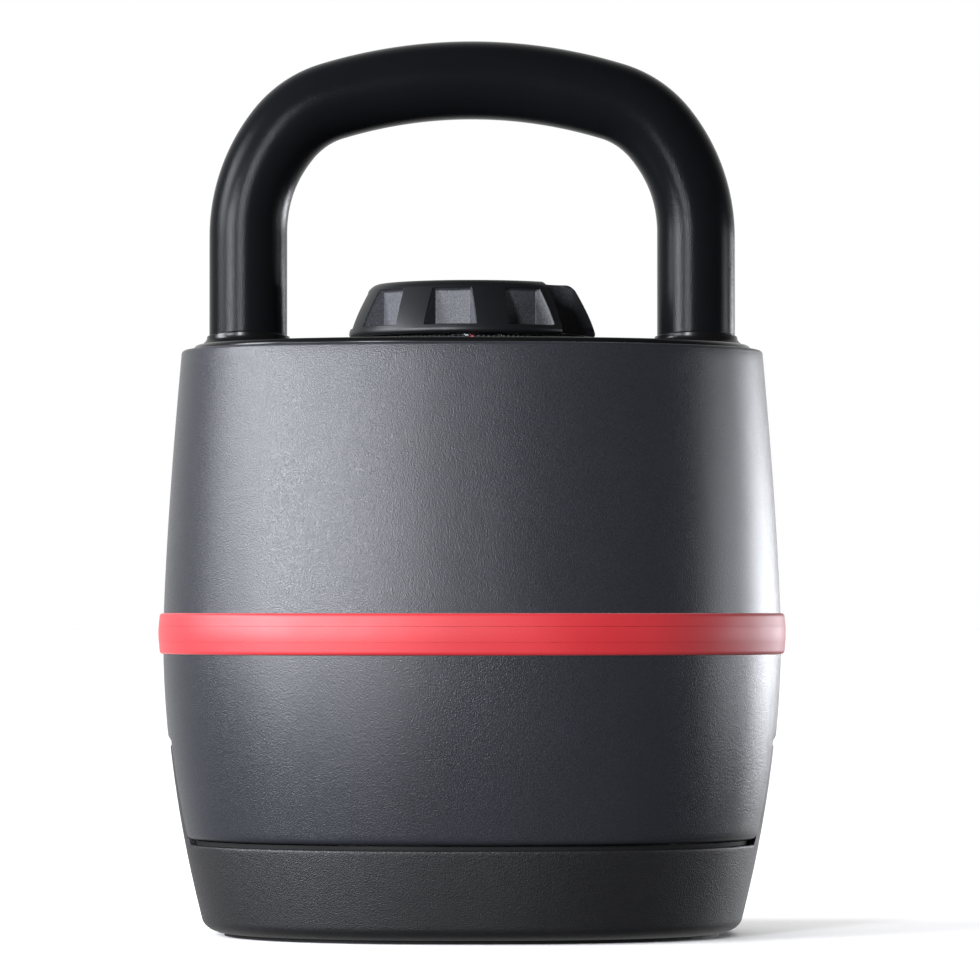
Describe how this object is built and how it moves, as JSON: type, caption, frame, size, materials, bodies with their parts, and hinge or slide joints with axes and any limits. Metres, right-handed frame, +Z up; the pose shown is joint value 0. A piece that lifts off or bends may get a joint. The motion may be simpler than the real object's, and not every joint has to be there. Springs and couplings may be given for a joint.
{
  "type": "adjustable kettlebell",
  "caption": "Dial-adjustable kettlebell standing in its base cradle: bar handle, two shells with a raised band, selector dial and a stack of weight plates.",
  "frame": {"origin": "centre of the footprint, on the floor", "axes": "+Z up, +X along the grip, -Y is the front with the index mark"},
  "size_m": [0.223, 0.179, 0.3175],
  "materials": {
    "tray_plastic": "fine spark-eroded grain",
    "sole_rubber": "matt",
    "pin_steel": "turned",
    "fastener_steel": "black oxide",
    "plate_steel": "painted",
    "shell_plastic": "satin with fine grain",
    "band_elastomer": "satin",
    "cover_plastic": "gloss",
    "bar_coating": "fine textured powder coat",
    "collar_plastic": "gloss",
    "ring_plastic": "gloss teeth",
    "chassis_steel": "zinc plated",
    "bearing_brass": "turned",
    "inner_plastic": "moulded",
    "spring_steel": "bright",
    "dial_plastic": "satin",
    "cap_plastic": null
  },
  "bodies": {
    "base": {"base_tray": "tray_plastic", "foot_mat": "sole_rubber", "release_post": "pin_steel", "post_screw": "fastener_steel", "weight_plate_3": "plate_steel", "weight_plate_4": "plate_steel", "weight_plate_5": "plate_steel"},
    "kettlebell": {"weight_plate_1": "plate_steel", "weight_plate_2": "plate_steel", "upper_shell": "shell_plastic", "lower_shell": "shell_plastic", "band": "band_elastomer", "top_cover": "cover_plastic", "handle": "bar_coating", "collar_left": "collar_plastic", "collar_right": "collar_plastic", "index_ring": "ring_plastic", "chassis_plate": "chassis_steel", "handle_bolts": "fastener_steel", "handle_washers": "fastener_steel", "shell_screws": "fastener_steel", "cover_screws": "fastener_steel", "seam_screws": "fastener_steel", "shaft_bushing": "bearing_brass", "lock_cup": "inner_plastic", "cup_screws": "fastener_steel", "detent_spring": "spring_steel", "stack_guide": "inner_plastic"},
    "selector": {"dial_knob": "dial_plastic", "dial_cap": "cap_plastic", "dial_screw": "fastener_steel", "selector_shaft": "pin_steel", "latch_tabs": "bearing_brass", "detent_wheel": "inner_plastic", "thrust_washer": "bearing_brass", "shaft_clip": "spring_steel", "lock_spring": "spring_steel"},
    "lock_rod": {"lock_rod": "pin_steel", "lock_pin": "pin_steel"}
  },
  "joints": [
    {"name": "kettlebell_lift", "type": "slide", "parent": "base", "child": "kettlebell", "axis": [0, 0, 1], "range_m": [0, 0.25]},
    {"name": "dial_turn", "type": "hinge", "parent": "kettlebell", "child": "selector", "pos_m": [0, 0, 0.22], "axis": [0, 0, 1], "range_deg": [-80, 120], "deforming": ["detent_spring"]},
    {"name": "lock_slide", "type": "slide", "parent": "selector", "child": "lock_rod", "axis": [0, 0, 1], "range_m": [-0.004, 0], "deforming": ["lock_spring"]}
  ],
  "couplings": [
    {"joint": "lock_slide", "follows": "kettlebell_lift", "ratio": -0.016}
  ]
}
